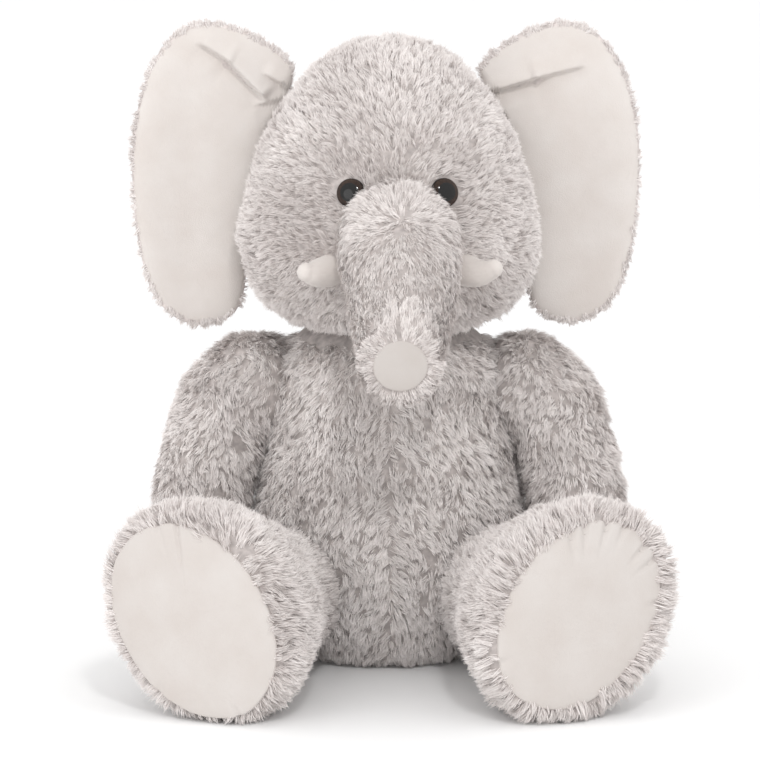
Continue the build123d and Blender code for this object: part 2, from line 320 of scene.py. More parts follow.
def noise_colours(material, shader, scale, colours, detail=4.0, nap_scale=None):
    """Mottles a material between two colours and, where nap_scale is given, raises a nap."""
    nodes, links = material.node_tree.nodes, material.node_tree.links
    where = nodes.new("ShaderNodeTexCoord")
    noise = nodes.new("ShaderNodeTexNoise")
    noise.inputs["Scale"].default_value = scale
    noise.inputs["Detail"].default_value = detail
    ramp = nodes.new("ShaderNodeValToRGB")
    ramp.color_ramp.elements[0].position = 0.3
    ramp.color_ramp.elements[1].position = 0.7
    ramp.color_ramp.elements[0].color = (*colours[0], 1)
    ramp.color_ramp.elements[1].color = (*colours[1], 1)
    links.new(where.outputs["Object"], noise.inputs["Vector"])
    links.new(noise.outputs["Fac"], ramp.inputs["Fac"])
    links.new(ramp.outputs["Color"], shader.inputs["Base Color"])
    if nap_scale:
        nap = nodes.new("ShaderNodeTexNoise")
        nap.inputs["Scale"].default_value = nap_scale
        nap.inputs["Detail"].default_value = 3.0
        lift = nodes.new("ShaderNodeBump")
        lift.inputs["Strength"].default_value = 0.5
        lift.inputs["Distance"].default_value = 0.0006
        links.new(where.outputs["Object"], nap.inputs["Vector"])
        links.new(nap.outputs["Fac"], lift.inputs["Height"])
        links.new(lift.outputs["Normal"], shader.inputs["Normal"])
    return material


def plush_backing(name, shade):
    """The cloth under the pile, which shows only as shade between the fibres."""
    colour = FUR_DARK * shade
    material, shader = principled(name, colour, 0.9)
    set_socket(shader, "Specular IOR Level", 0.1)
    return noise_colours(material, shader, 160, (colour * 0.8, colour * 1.25))


def velboa(name, shade):
    """Short-pile cloth: cream, faintly pink, with a soft brushed bloom."""
    material, shader = principled(name, (0.72, 0.67, 0.64), 0.85)
    set_socket(shader, "Specular IOR Level", 0.15)
    set_socket(shader, "Sheen Weight", 0.6)
    set_socket(shader, "Sheen Roughness", 0.35)
    set_socket(shader, "Sheen Tint", (1.0, 0.97, 0.95, 1))
    pale, deep = np.array([0.72, 0.675, 0.645]), np.array([0.675, 0.62, 0.585])
    return noise_colours(material, shader, 26, (deep * shade, pale * shade), 6.0, 900)


def gloss(name, colour):
    """Glossy plastic with faint paler specks."""
    material, shader = principled(name, colour, 0.05)
    set_socket(shader, "Specular IOR Level", 0.4)
    speck = tuple(1.6 * c for c in colour)
    return noise_colours(material, shader, 500, (colour, speck))


def satin_ribbon():
    """Undyed ribbon with a faint weave."""
    material, shader = principled("label_ribbon", (0.86, 0.85, 0.83), 0.45)
    set_socket(shader, "Sheen Weight", 0.3)
    return noise_colours(material, shader, 300, ((0.8, 0.79, 0.77), (0.88, 0.87, 0.86)))


def fibrefill():
    """Loose polyester fibre."""
    material, shader = principled("polyester_fibre", (0.9, 0.9, 0.89), 0.95)
    return noise_colours(material, shader, 90, ((0.78, 0.78, 0.77), (0.93, 0.93, 0.92)))


def washer_plastic():
    """Plain pale moulded plastic."""
    material, shader = principled("washer_plastic", (0.8, 0.8, 0.78), 0.5)
    return noise_colours(material, shader, 200, ((0.74, 0.74, 0.72), (0.82, 0.82, 0.8)))


PILE = fur_palette()
BACKING = plush_backing("plush_backing", 0.75)
EAR_BACKING = plush_backing("plush_ear_backing", 1.0)
VELBOA = velboa("velboa", 0.95)
# the soles and the trunk's tip are the same cream velboa as the ears and tusks, made darker here as
# painted shade
SOLE_VELBOA_SHADED = velboa("velboa_soles_shaded", 0.84)
TIP_VELBOA_SHADED = velboa("velboa_trunk_tip_shaded", 0.73)


# ---------------------------------------------------------------- fur
def surface(obj):
    """The places, triangles and point normals of a skin, in millimetres."""
    mesh = obj.data
    mesh.calc_loop_triangles()
    co = places(mesh)
    tris = np.empty(len(mesh.loop_triangles) * 3, np.int32)
    mesh.loop_triangles.foreach_get("vertices", tris)
    normals = np.empty(len(mesh.vertices) * 3)
    mesh.vertices.foreach_get("normal", normals)
    return co, tris.reshape(-1, 3), normals.reshape(-1, 3)


def scattered(obj, spacing, rng):
    """Random places on a skin, one to each square of that spacing, with their normals."""
    co, tris, normals = surface(obj)
    a, b, c = (co[tris[:, k]] for k in range(3))
    area = np.linalg.norm(np.cross(b - a, c - a), axis=1) / 2
    count = int(area.sum() / spacing**2)
    pick = rng.choice(len(tris), count, p=area / area.sum())
    u, v = np.sqrt(rng.random(count)), rng.random(count)
    w = np.stack([1 - u, u * (1 - v), u * v], axis=1)[:, :, None]
    p = (co[tris[pick]] * w).sum(axis=1)
    n = unit((normals[tris[pick]] * w).sum(axis=1))
    return p, n


def lock_fibres(p, n, way, size, rise, strands, spacing, width, stray, rng):
    """The five points of every fibre of the locks at p, as an array of (fibres, 5, 3)."""
    count = len(p) * strands
    middle, up, lie, aside, tall, rises = (
        np.repeat(values, strands, axis=0) for values in (p, n, way, np.cross(n, way), size, rise))
    reach = spacing * 0.72 * np.sqrt(rng.random(count))
    angle = rng.uniform(0, 2 * math.pi, count)
    off = lie * (reach * np.cos(angle))[:, None]
    off = off + aside * (reach * np.sin(angle))[:, None]
    tall = tall * rng.uniform(0.72, 1.12, count)
    rises = rises + rng.normal(0, 0.14, count)
    ahead = lie * np.cos(rises)[:, None] + up * np.sin(rises)[:, None]
    root = middle + off - up * 0.8
    pinch = stray * rng.uniform(0.35, 0.8, count)[:, None]
    tip = root + ahead * tall[:, None] - off * pinch
    tip = tip + rng.normal(0, 0.7, (count, 3))
    half = root + (tip - root) * 0.5 + up * (tall * 0.13)[:, None] + off * 0.12
    flat = unit(np.cross(tip - root, up))
    twist = rng.normal(0, 0.55, count)[:, None]
    flat = unit(flat * np.cos(twist) + up * np.sin(twist))
    wide = width * rng.uniform(0.75, 1.25, count)[:, None]
    verts = np.stack(
        [root - flat * wide * 0.5, root + flat * wide * 0.5,
         half + flat * wide * 0.42, half - flat * wide * 0.42, tip], axis=1)
    verts[..., 2] = np.maximum(verts[..., 2], FLOOR_LIFT)
    return verts


def grow_fur(name, skin, body, flow, seed, keep=None, length=11.0, shorten=None,
             spacing=5.0, strands=15, width=0.75, lift=0.55, swirl=0.5, stray=1.0, lightness=None):
    """A coat of tapering fibres in locks whose tips draw together.

    flow gives each place the way its pile lies, keep leaves places out, shorten gives each
    one's share of the full length, and lightness how much paler it is. lift is how steeply
    the locks stand, swirl how far they wander together, and stray how far each lies from the rest.
    """
    rng = np.random.default_rng(seed)
    p, n = scattered(skin, spacing, rng)
    if keep is not None:
        kept = keep(p)
        p, n = p[kept], n[kept]
    way = flow(p)
    way = unit(way - n * (way * n).sum(axis=1, keepdims=True))
    aside = np.cross(n, way)
    turn = swirl * waves(p, 70, seed + 5) + stray * rng.normal(0, 0.3, len(p))
    way = way * np.cos(turn)[:, None] + aside * np.sin(turn)[:, None]
    size = length * (1 + 0.16 * waves(p, 40, seed + 9) + rng.normal(0, 0.09, len(p)))
    if shorten is not None:
        size = size * shorten(p)
    rise = lift + stray * (0.16 * waves(p, 30, seed + 3) + rng.normal(0, 0.12, len(p)))
    shade = 0.13 * waves(p, 85, seed + 7) + 0.09 * waves(p, 16, seed + 8)
    shade = shade + rng.normal(0, 0.05, len(p))
    if lightness is not None:
        shade = shade + lightness(p)

    verts = lock_fibres(p, n, way, size, rise, strands, spacing, width, stray, rng)
    tones = np.repeat(shade, strands) + rng.normal(0, 0.07, len(verts))
    # each fibre's lower face takes a darker tone than its upper face: painted shade at the roots
    low = np.clip(np.rint((0.46 + tones) * (FUR_TONES - 1)), 0, FUR_TONES - 3)
    high = np.clip(np.rint((0.68 + tones) * (FUR_TONES - 1)), 2, FUR_TONES - 1)
    low, high = low.astype(np.int32), high.astype(np.int32)
    parts = math.ceil(len(verts) / MOST_FIBRES)
    order = np.argsort(np.repeat(p[:, 0], strands), kind="stable")
    for number, chosen in enumerate(np.array_split(order, parts), 1):
        label = name if parts == 1 else f"{name}_{number}"
        obj = fibre_mesh(label, verts[chosen], low[chosen], high[chosen])
        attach(obj, body)


def fibre_mesh(name, verts, low, high):
    """One mesh of five-point fibres, whose lower and upper faces have their own shades."""
    count = len(verts)
    mesh = bpy.data.meshes.new(name)
    mesh.vertices.add(count * 5)
    mesh.vertices.foreach_set("co", (verts.reshape(-1) * MM).astype(np.float32))
    base = (np.arange(count, dtype=np.int32) * 5)[:, None]
    loops = np.concatenate([base + [0, 1, 2, 3], base + [3, 2, 4]], axis=1)
    mesh.loops.add(loops.size)
    mesh.loops.foreach_set("vertex_index", loops.ravel())
    starts = np.stack([np.arange(count) * 7, np.arange(count) * 7 + 4], axis=1)
    mesh.polygons.add(count * 2)
    mesh.polygons.foreach_set("loop_start", starts.ravel().astype(np.int32))
    for material in PILE:
        mesh.materials.append(material)
    mesh.polygons.foreach_set("material_index", np.stack([low, high], axis=1).ravel())
    mesh.polygons.foreach_set("use_smooth", np.ones(count * 2, bool))
    mesh.update(calc_edges=True)
    mesh.validate()
    obj = bpy.data.objects.new(name, mesh)
    bpy.context.collection.objects.link(obj)
    return obj


# ---------------------------------------------------------------- the stuffed skins
# (radius, height) of the torso and the head
TORSO_ROWS = [(0, 0), (45, 0), (78, 0.5), (102, 10), (121, 36), (131, 72), (134, 108),
              (131, 145), (126, 180), (118, 235), (112, 281), (103, 305), (84, 324), (58, 344),
              (30, 355), (0, 358)]
HEAD_ROWS = [(0, 330), (45, 328), (92, 337), (129, 366), (144, 412), (138, 455), (120, 513),
             (101, 547), (66, 588), (32, 606), (0, 611)]
# (x, y, z, two radii) along the trunk and the left arm
TRUNK_ROWS = [(0, -153, 424, 57, 57), (0, -183, 405, 54, 54), (0, -208, 378, 49, 48),
              (-2, -232, 351, 43, 42), (-4, -250, 333, 39, 39), (-5.5, -264, 326, 37, 37),
              (-5.5, -276, 325, 36, 36)]
ARM_ROWS = [(134, -7, 268, 51, 49), (158, -9, 247, 51, 49), (174, -13, 205, 48, 48),
            (184, -15, 165, 47, 47), (188, -16, 130, 46, 46)]
TRUNK_END = turned([-6.5, -278, 323.5])
TRUNK_OUT = turned_way([0, -1.0, 0])
WHORL = turned([0, -206, 444.0])  # where the pile parts, on top of the trunk
EYE_PLACE = [44.0, -144, 470]
EYE_HOLLOW = 16.5  # how far the cloth and the pile keep from the middle of an eye
HIP = np.array([95, -60, 70.0])
SOLE = np.array([176, -300, 99.6])
SOLE_TILT = math.radians(40)
SOLE_SIZES = {"right": (97, 70), "left": (94, 69)}
SOLE_SHIFTS = {"right": np.array([-3, 0, -7.0]), "left": np.array([-4, 0, -2.0])}
# (distance from the hip, long and short radius) along a leg
LEG_REACHES = [(0, 58, 58), (60, 63, 63), (120, 70, 71), (150, 82, 77), (180, 96, 84),
               (210, 105, 87), (238, 104, 85), (252, 98, 76)]


def sole_frame(side):
    """The sole's middle, its way out, and its long and short axes."""
    middle = mirrored(SOLE, side)
    way = unit(middle - mirrored(HIP, side))
    level = unit(np.cross(way, [0, 0, 1]))
    upright = np.cross(level, way)
    tilt = -SOLE_TILT * side
    long_axis = upright * math.cos(tilt) + np.cross(way, upright) * math.sin(tilt)
    return middle, way, long_axis, np.cross(way, long_axis)


def make_torso():
    verts, faces = closed_rings(turned_profile(TORSO_ROWS, 60, 96))
    skin = remeshed(build("torso_cover", verts, faces, [BACKING]), 6)
    seams = [lambda p: p[:, 0], lambda p: p[:, 1] - 8]
    return subdivided(stuffed(skin, seams, 3.0))


def make_head():
    verts, faces = closed_rings(turned_profile(HEAD_ROWS, 60, 96, (0, HEAD_Y)))
    skin = remeshed(build("head_cover", verts, faces, [BACKING]), 6)
    across = turned_way([1.0, 0, 0])
    return subdivided(stuffed(skin, [lambda p: (p - [0, HEAD_Y, 0]) @ across], 3.0))


def off_eyes(p):
    """True for places clear of both eyes."""
    eyes = [turned(mirrored(EYE_PLACE, side)) for side in SIDES.values()]
    return np.min([np.linalg.norm(p - eye, axis=1) for eye in eyes], axis=0) > EYE_HOLLOW


def hollowed(obj):
    """The same skin pressed in round each eye."""
    points = places(obj.data)
    for side in SIDES.values():
        eye = turned(mirrored(EYE_PLACE, side))
        away = points - eye
        far = np.linalg.norm(away, axis=1, keepdims=True)
        points = eye + away / far * np.maximum(far, EYE_HOLLOW)
    set_places(obj.data, points)
    return obj


def make_trunk():
    rows = [(*turned(row[:3]), *row[3:]) for row in TRUNK_ROWS]
    rings = limb_rings(rows, turned_way([1.0, 0, 0]), 26, 64, flat_edge=2.0)
    verts, faces = closed_rings(rings)
    skin = remeshed(build("trunk_cover", verts, faces, [BACKING]), 4)
    return hollowed(subdivided(stuffed(skin, [], 1.5)))


def make_arm(name, side):
    rows = [(*mirrored(row[:3], side), *row[3:]) for row in ARM_ROWS]
    rings = limb_rings(rows, np.array([1.0, 0, 0]), 26, 64, round_end=True)
    verts, faces = closed_rings(rings)
    skin = remeshed(build(f"arm_cover_{name}", verts, faces, [BACKING]), 5)
    return subdivided(stuffed(skin, [lambda p: p[:, 1] + 10], 3.0))


def make_leg(name, side):
    middle, way, long_axis, _ = sole_frame(side)
    hip = mirrored(HIP, side)
    rows = [(*(hip + way * reach), wide, high) for reach, wide, high in LEG_REACHES]
    rings = limb_rings(rows, long_axis, 36, 80, flat_edge=1.5)
    verts, faces = closed_rings(rings)
    skin = remeshed(build(f"leg_cover_{name}", verts, faces, [BACKING]), 6)
    return subdivided(stuffed(skin, [lambda p: (p - middle) @ way + 3], 2.0))


# ---------------------------------------------------------------- the coats
def falling(p):
    """Straight down."""
    return np.repeat(DOWN[None], len(p), axis=0)


def torso_flow(p):
    """Down, and a little away from the seams in front and behind."""
    aside = np.sign(p[:, 0]) * np.exp(-np.abs(p[:, 0]) / 14)
    return DOWN + aside[:, None] * np.array([0.8, 0, 0])


def torso_tone_and_shade(p):
    """Painted shade under the trunk, darker along the front seam, and paler low in the lap."""
    # painted shade on the chest, under the trunk
    chest = np.exp(-((np.linalg.norm(p - [0, -95, 262], axis=1) / 48) ** 2))
    lap = np.exp(-((np.linalg.norm((p - [0, -130, 70]) * [0.5, 1, 1], axis=1) / 45) ** 2))
    seam = np.exp(-((p[:, 0] / 2.5) ** 2)) * (p[:, 1] < 0)
    return 0.12 - 0.06 * chest + 0.05 * lap - 0.10 * seam


def below_head(p):
    return p[:, 2] < 316


def head_flow(p):
    """From the whorl over the trunk outwards across the face and crown, then down the back."""
    away = unit(p - WHORL)
    near = 1 - smoothstep(-20, 90, p[:, 1])[:, None]
    return away * near + DOWN * (1 - near)


def head_light_and_shade(p):
    """Palest on the crown, as painted light, darker on the face, and darkest on the toy's right
    cheek, as painted shade.
    """
    cheek = turned([-84.0, -118, 438])
    # painted shade on the toy's right cheek
    cheek_shade = np.exp(-(np.linalg.norm(p - cheek, axis=1) / 48) ** 2)
    face = smoothstep(-60, -120, p[:, 1]) * (1 - smoothstep(480, 530, p[:, 2]))
    # painted light on the crown
    crown = smoothstep(470, 560, p[:, 2])
    return 0.08 * crown - 0.10 * face - 0.36 * cheek_shade - 0.07


def trunk_flow(p):
    """Outwards from the whorl, then along the trunk, then outwards round its tip."""
    near = 1 - smoothstep(30, 95, np.linalg.norm(p - WHORL, axis=1))[:, None]
    tip = smoothstep(-30, -8, (p - TRUNK_END) @ TRUNK_OUT)[:, None]
    away = p - TRUNK_END
    away = unit(away - np.outer(away @ TRUNK_OUT, TRUNK_OUT))
    along = turned_way([0, -0.8, -0.6])
    body = unit(p - WHORL) * near + along * (1 - near) * (1 - tip)
    return body + (away + TRUNK_OUT * 0.6) * tip


def trunk_outside(p):
    """Leaves out the cloth under the pad, near the eyes, and inside the head."""
    off_pad = (np.linalg.norm(np.cross(p - TRUNK_END, TRUNK_OUT), axis=1) > 22) | (
        (p - TRUNK_END) @ TRUNK_OUT < -12)
    return off_pad & off_eyes(p) & (p[:, 1] < np.where(p[:, 2] > 425, -140, -122))


def trunk_short(p):
    """Shorter round the trunk's tip."""
    return 1 - 0.2 * smoothstep(-12, -2, (p - TRUNK_END) @ TRUNK_OUT)


def grow_leg_fur(name, side, leg):
    """Back over the foot, and outwards round the rim of the sole."""
    middle, way, long_axis, short_axis = sole_frame(side)
    wide, high = SOLE_SIZES[name]

    def flow(p):
        along = ((p - middle) @ way)[:, None]
        radial = unit(p - middle - along * way)
        near = smoothstep(-50, -8, along)
        return way * -0.9 * (1 - near) + radial * near * 1.4

    def at_rim(p):
        return smoothstep(-30, -6, (p - middle) @ way)

    def off_sole(p):
        q = p - middle - SOLE_SHIFTS[name]
        inside = (q @ long_axis / (wide - 6)) ** 2 + (q @ short_axis / (high - 6)) ** 2 < 1
        return ~(inside & (q @ way > -8))

    grow_fur(f"leg_fur_{name}", leg, f"leg_{name}", flow, seed=51 + side,
             keep=off_sole, shorten=lambda p: 1 + 0.3 * at_rim(p), stray=0.7,
             lightness=lambda p: -0.06 - 0.03 * at_rim(p))


def make_body():
    """The torso, head, trunk and limbs, each a stuffed skin with its coat."""
    torso, head, trunk = make_torso(), make_head(), make_trunk()
    panels = [f"torso_panel_{f}_{s}" for f in ("front", "back") for s in SIDES]
    piece(torso, "torso", "plush_body", *panels, fill=0.9)
    piece(head, "head", "plush_head", "head_panel_right", "head_panel_left", fill=0.95)
    piece(trunk, "trunk", "plush_trunk", "trunk_panel_right", "trunk_panel_left", fill=0.9)
    grow_fur("torso_fur", torso, "torso", torso_flow, seed=11, keep=below_head,
             lightness=torso_tone_and_shade)
    grow_fur("head_fur", head, "head", head_flow, seed=21, keep=off_eyes,
             length=10.0, spacing=4.5, width=0.68, lift=0.68, lightness=head_light_and_shade)
    grow_fur("trunk_fur", trunk, "trunk", trunk_flow, seed=31,
             keep=trunk_outside, length=9.0, shorten=trunk_short, spacing=4.0, width=0.6,
             lift=0.42, swirl=0.15, stray=0.5, lightness=lambda p: -0.05)
    for name, side in SIDES.items():
        arm = make_arm(name, side)
        panels = [f"arm_panel_front_{name}", f"arm_panel_back_{name}"]
        piece(arm, f"arm_{name}", "plush_limb", *panels, fill=0.85)
        grow_fur(f"arm_fur_{name}", arm, f"arm_{name}", falling, seed=41 + side,
                 lightness=lambda p: 0.04)
        leg = make_leg(name, side)
        panels = [f"leg_panel_outer_{name}", f"leg_panel_inner_{name}"]
        piece(leg, f"leg_{name}", "plush_limb", *panels, fill=0.9)
        grow_leg_fur(name, side, leg)


# ---------------------------------------------------------------- soles, trunk tip and tusks
PAD_RIM = 0.5  # how far the edge of a pad's crown stands off the end it is sewn to


def pad_rings(middle, way, u, v, wide, high, dome, around, creases=(), seed=1):
    """Rings of a closed, crowned oval pad, from its sunken back to the middle of its face.

    A crease is (angle, depth, half width, where it starts as a share of the way to the rim).
    """
    t = np.arange(around) * 2 * math.pi / around
    circle = np.stack([np.cos(t), np.sin(t), np.zeros(around)], axis=1)
    uneven = 0.010 * waves(circle, 0.9, seed)
    rings = []
    steps = [(0.55, -6.0), (0.9, -5.5), (0.985, -3.5), (1.0, -1.2)]
    steps += [(math.cos(a), PAD_RIM + dome * math.sin(a)) for a in np.linspace(0.12, 1.53, 44)]
    for share, ahead in steps:
        grow = 1 + uneven * share**4
        lift = np.full(around, float(ahead))
        for where, depth, spread, start in creases:
            near = np.angle(np.exp(1j * (t - where)))
            dent = np.exp(-((near / spread) ** 2)) - 0.35 * np.exp(-((near / spread / 2.6) ** 2))
            dent = dent * smoothstep(start, 1.0, share)
            grow = grow - 0.011 * depth * dent * (share > 0.9)
            if ahead > -3:
                lift = lift - depth * dent
        ring = middle + np.outer(np.cos(t) * wide * share * grow, u)
        ring = ring + np.outer(np.sin(t) * high * share * grow, v)
        rings.append(ring + np.outer(lift, way))
    return rings


# the left sole is gathered round its upper end, the right one only creased
SOLE_CREASES = {
    "right": [(-0.63, 2.6, 0.035, 0.25), (-0.38, 1.5, 0.05, 0.5), (1.9, 1.2, 0.05, 0.7),
              (2.9, 1.4, 0.05, 0.7), (-2.2, 1.2, 0.05, 0.7)],
    "left": [(0.94, 3.2, 0.05, 0.55), (0.75, 3.6, 0.045, 0.6), (0.46, 3.8, 0.05, 0.55),
             (0.21, 2.4, 0.05, 0.65), (-0.19, 3.4, 0.05, 0.6), (-0.42, 3.0, 0.045, 0.6),
             (-0.94, 2.6, 0.045, 0.75), (2.6, 1.6, 0.05, 0.8), (1.5, 1.2, 0.08, 0.5)],
}


def make_sole(name, side):
    middle, way, long_axis, short_axis = sole_frame(side)
    wide, high = SOLE_SIZES[name]
    rings = pad_rings(middle + SOLE_SHIFTS[name], way, long_axis, short_axis, wide, high, 7.5,
                      420, SOLE_CREASES[name], 90 + side)
    verts, faces = closed_rings(rings)
    sole = build(f"sole_{name}_pad", verts, faces, [SOLE_VELBOA_SHADED])
    piece(sole, f"leg_{name}", "velboa_cream", f"sole_{name}", fill=0.5)


def make_trunk_tip():
    u, v = turned_way([1.0, 0, 0]), np.array([0, 0, 1.0])
    rings = pad_rings(TRUNK_END + TRUNK_OUT * 1.5, TRUNK_OUT, u, v, 25, 23, 3.5, 72)
    verts, faces = closed_rings(rings)
    tip = build("trunk_tip_pad", verts, faces, [TIP_VELBOA_SHADED])
    piece(tip, "trunk", "velboa_cream", "trunk_pad", fill=0.4)


# the left tusk turns up at its tip, the right one hangs almost straight
TUSK_ROWS = {
    "right": [(50, -131, 401, 16, 16), (62, -145, 398, 15.5, 15.5), (73, -154, 396, 14, 14),
              (81, -161, 396, 11.5, 11.5), (87, -165, 397.5, 9, 9)],
    "left": [(50, -130, 403, 16, 16), (63, -146, 397, 15.5, 15.5), (74, -156, 395, 13.5, 13.5),
             (83, -162, 397, 11, 11), (89, -166, 400, 9, 9)],
}


def make_tusk(name, side):
    rows = [(*turned(mirrored(row[:3], side)), *row[3:]) for row in TUSK_ROWS[name]]
    rings = limb_rings(rows, -DOWN, 24, 40, round_end=True)
    verts, faces = closed_rings(rings)
    tusk = build(f"tusk_{name}", verts, faces, [VELBOA])
    points = places(tusk.data)
    points += waves(points, 30, 70 + side)[:, None] * np.array([0.25, 0.25, 0.4])
    set_places(tusk.data, points)
    piece(tusk, "head", "velboa_cream", f"tusk_cover_{name}", fill=0.95)


# ---------------------------------------------------------------- eyes
EYE_RADIUS, EYE_HEIGHT = 14.0, 8.0
IRIS_RADIUS, PUPIL_RADIUS = 13.3, 8.6


def eye_iris():
    """Brown plastic with fine darker spokes."""
    material, shader = principled("eye_iris", (0.03, 0.018, 0.013), 0.08)
    set_socket(shader, "Specular IOR Level", 0.25)
    return noise_colours(material, shader, 420, ((0.016, 0.009, 0.007), (0.045, 0.026, 0.018)))


EYE_RIM = gloss("eye_rim", (0.012, 0.009, 0.008))
EYE_IRIS = eye_iris()
EYE_PUPIL = gloss("eye_pupil", (0.004, 0.004, 0.004))


def make_eye(name, side):
    """A domed eye: a black pupil in a brown ring, under one glossy surface."""
    outward = unit(turned_way([0.33 * side, -0.92, 0.2]))
    u = unit(np.cross([0, 0, 1], outward))
    v = np.cross(outward, u)
    middle = turned(mirrored(EYE_PLACE, side))
    around = 64
    t = np.arange(around) * 2 * math.pi / around
    # (radius, height) from the middle of the back over the rolled rim to the top of the dome
    steps = [(0.3, -1.0), (12.4, -1.0), (13.6, -0.7), (EYE_RADIUS, 0.2), (13.9, 1.2)]
    for share in np.linspace(0.95, 0.04, 24):
        height = 1 + (EYE_HEIGHT - 1) * math.sqrt(1 - share**2) * 0.98
        steps.append((EYE_RADIUS * share, height))
    rings = [middle + outward * ahead + np.outer(np.cos(t) * r, u) + np.outer(np.sin(t) * r, v)
             for r, ahead in steps]
    verts, faces = closed_rings(rings)
    eye = build(f"eye_{name}_dome", verts, faces, [EYE_RIM, EYE_IRIS, EYE_PUPIL])
    for polygon in eye.data.polygons:
        away = np.array(polygon.center) / MM - middle
        height = np.dot(away, outward)
        across = np.linalg.norm(away - outward * height)
        if across > IRIS_RADIUS or height <= 1:
            polygon.material_index = 0
        else:
            polygon.material_index = 1 if across > PUPIL_RADIUS else 2
    piece(eye, "head", "eye_plastic", f"eye_{name}")


# ---------------------------------------------------------------- ears
EAR_RIM = [(92, 583), (118, 606), (150, 621), (183, 626), (212, 612), (236, 576), (250, 520),
           (252, 460), (245, 398), (229, 352), (200, 329), (166, 330), (146, 350), (138, 400),
           (128, 460), (118, 515), (98, 555)]
EAR_MIDDLE = np.array([182.0, 478.0])
EAR_DEPTH = 21.0  # y of the middle of an ear's thickness
# creases of each ear's lining: both ends, how far the cloth above stands up, and how deep it dips
EAR_CREASES = {
    "right": [((186, 606), (158, 589), 8.0, 3.0), ((160, 590), (126, 556), 11.0, 4.5),
              ((121, 576), (94, 559), 5.0, 3.0), ((130, 545), (96, 552), 3.0, 2.5)],
    "left": [((194, 582), (150, 572), 6.0, 2.5), ((156, 573), (102, 557), 10.0, 4.5),
             ((120, 533), (104, 548), 3.0, 3.0)],
}


def ear_outline(around):
    """The ear's rim at even steps of angle about its middle, as seen from the front."""
    rows = smooth_rows(EAR_RIM + EAR_RIM[:1], 600)[:-1]
    away = rows - EAR_MIDDLE
    angle = np.arctan2(away[:, 1], away[:, 0])
    reach = np.linalg.norm(away, axis=1)
    order = np.argsort(angle)
    t = -math.pi + 2 * math.pi * np.arange(around) / around
    return t, np.interp(t, angle[order], reach[order], period=2 * math.pi)


def ear_bend(x, z):
    """How far back the middle of an ear lies: its outer edge cups forwards in slow waves."""
    cup = -7.0 * smoothstep(190, 255, x)
    return cup + 3.0 * np.sin((z - 330) / 48.0) * smoothstep(130, 230, x)


def ear_creases(x, z, creases):
    """How far forward the lining stands beside its creases: a lip above, a dip below."""
    total = np.zeros_like(x)
    for (ax, az), (bx, bz), lip, dip in creases:
        long = math.hypot(bx - ax, bz - az)
        ux, uz = (bx - ax) / long, (bz - az) / long
        along = ((x - ax) * ux + (z - az) * uz) / long
        above = (x - ax) * uz - (z - az) * ux
        fade = smoothstep(-0.15, 0.2, along) * (1 - smoothstep(1.0, 1.2, along))
        up = lip * np.exp(-((np.maximum(above, 0) / 15.0) ** 2))
        low = -dip * np.exp(np.minimum(above, 0) / 11.0)
        total = total + fade * (low + (up - low) * smoothstep(-1.6, 1.6, above))
    return total


def ear_layer_rings(share_out, front, back, around, rows, side, crown=0.0, creases=()):
    """Rings of a closed layer whose outline is a share of the ear's."""
    t, reach = ear_outline(around)
    rings = []
    shares = 1 - (1 - np.linspace(0.04, 0.995, rows)) ** 1.15
    steps = [(s, "back") for s in shares[::2]] + [(1.0, "edge")]
    steps += [(s, "front") for s in shares[::-1]]
    for share, face in steps:
        x = EAR_MIDDLE[0] + np.cos(t) * reach * share * share_out
        z = EAR_MIDDLE[1] + np.sin(t) * reach * share * share_out
        puff = (1 - share**6) ** 0.5
        offset = {"front": -front * puff - crown * (1 - share**2), "edge": 0.0,
                  "back": back * puff}[face]
        if face == "front" and creases:
            offset = offset - ear_creases(x, z, creases) * puff**0.5
        y = EAR_DEPTH + offset + ear_bend(x, z)
        rings.append(turned(np.stack([x * side, y, z], axis=1)))
    return rings


def ear_layer(name, material, rings, side):
    """A closed layer of an ear, with its faces turned outwards on either side."""
    verts, faces = closed_rings(rings)
    if side < 0:
        faces = [face[::-1] for face in faces]
    return build(name, verts, faces, [material])


def make_ear(name, side):
    """A plush back folded round the rim, and a short-pile lining over its front."""
    rings = ear_layer_rings(1.005, 5.0, 6.5, 144, 30, side)
    back = ear_layer(f"ear_back_{name}_cover", EAR_BACKING, rings, side)
    piece(back, f"ear_{name}", "plush_ear", f"ear_back_{name}", f"ear_batting_{name}", fill=0.5)
    rings = ear_layer_rings(0.988, 7.4, -3.0, 300, 84, side, 2.0, EAR_CREASES[name])
    lining = ear_layer(f"ear_lining_{name}_cloth", VELBOA, rings, side)
    piece(lining, f"ear_{name}", "velboa_cream", f"ear_lining_{name}", fill=0.4)
    middle = turned([EAR_MIDDLE[0] * side, EAR_DEPTH, EAR_MIDDLE[1]])
    back_way = turned_way([0, 1.0, 0])
    t, reach = ear_outline(180)

    def share_and_depth(p):
        """Each place's share of the way to the rim, and how far behind the middle it is."""
        flat = turned_back(p)
        x, z = flat[:, 0] * side, flat[:, 2]
        away = np.stack([x - EAR_MIDDLE[0], z - EAR_MIDDLE[1]], axis=1)
        rim = np.interp(np.arctan2(away[:, 1], away[:, 0]), t, reach, period=2 * math.pi)
        return np.linalg.norm(away, axis=1) / rim, flat[:, 1] - EAR_DEPTH - ear_bend(x, z)

    def flow(p):
        near = smoothstep(0.85, 1.0, share_and_depth(p)[0])[:, None]
        out = unit((p - middle) * [1, 0, 1])
        return out * 0.7 + DOWN * 0.7 * (1 - near) + back_way * near * 0.9

    grow_fur(f"ear_fur_{name}", back, f"ear_{name}", flow, seed=61 + side,
             keep=lambda p: share_and_depth(p)[1] > -2.5, length=8.5,
             shorten=lambda p: 1 - 0.3 * smoothstep(0.9, 1.0, share_and_depth(p)[0]),
             spacing=3.8, lift=0.45)


